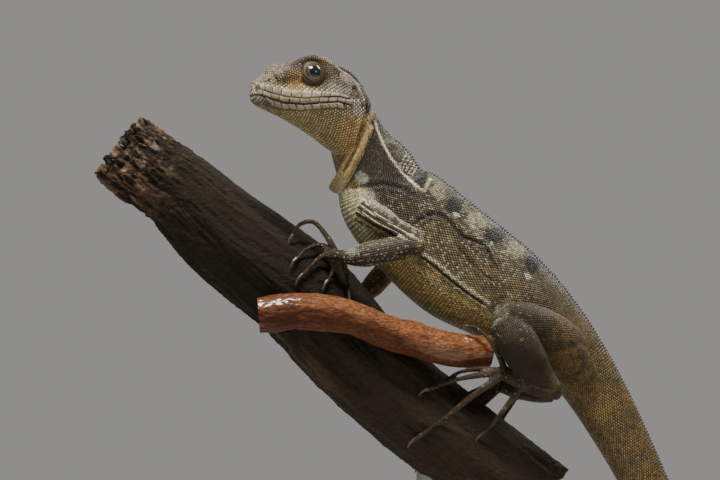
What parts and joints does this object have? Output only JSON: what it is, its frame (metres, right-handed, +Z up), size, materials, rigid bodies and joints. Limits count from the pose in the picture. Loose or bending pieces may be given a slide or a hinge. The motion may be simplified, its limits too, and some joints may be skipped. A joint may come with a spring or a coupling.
{
  "type": "brown basilisk on a cut branch, museum model",
  "caption": "Life-size model of a slender brown basilisk sitting head-up on a cut sloping branch, its long tail hanging free, on a rod and round base.",
  "frame": {"origin": "centre of the underside of the round base", "axes": "+Z up; the animal's head points to -X, its left side faces -Y, which is the side the picture shows"},
  "size_m": [0.2741, 0.128, 0.3733],
  "materials": {
    "skin": "scaly, dry, brown-olive with dark saddle bands",
    "claw": "dark horn, semi-gloss",
    "eye": "wet, clear over a dark iris",
    "bark": "rough, dark, broken bark",
    "stem_bark": "smooth, glossy red-brown bark",
    "stand_wood": "dark, satin turned wood",
    "stand_steel": "brushed"
  },
  "bodies": {
    "root": {"head": "skin", "head_crest": "skin", "eye_left": "eye", "eye_right": "eye", "neck": "skin", "torso": "skin", "tail_1": "skin", "tail_2": "skin", "tail_3": "skin", "tail_4": "skin", "upper_arm_left": "skin", "forearm_left": "skin", "hand_left": "skin", "upper_arm_right": "skin", "forearm_right": "skin", "hand_right": "skin", "thigh_left": "skin", "shin_left": "skin", "foot_left": "skin", "thigh_right": "skin", "shin_right": "skin", "foot_right": "skin", "branch": "bark", "branch_stem": "stem_bark", "stand_base": "stand_wood", "stand_rod": "stand_steel"}
  },
  "joints": []
}
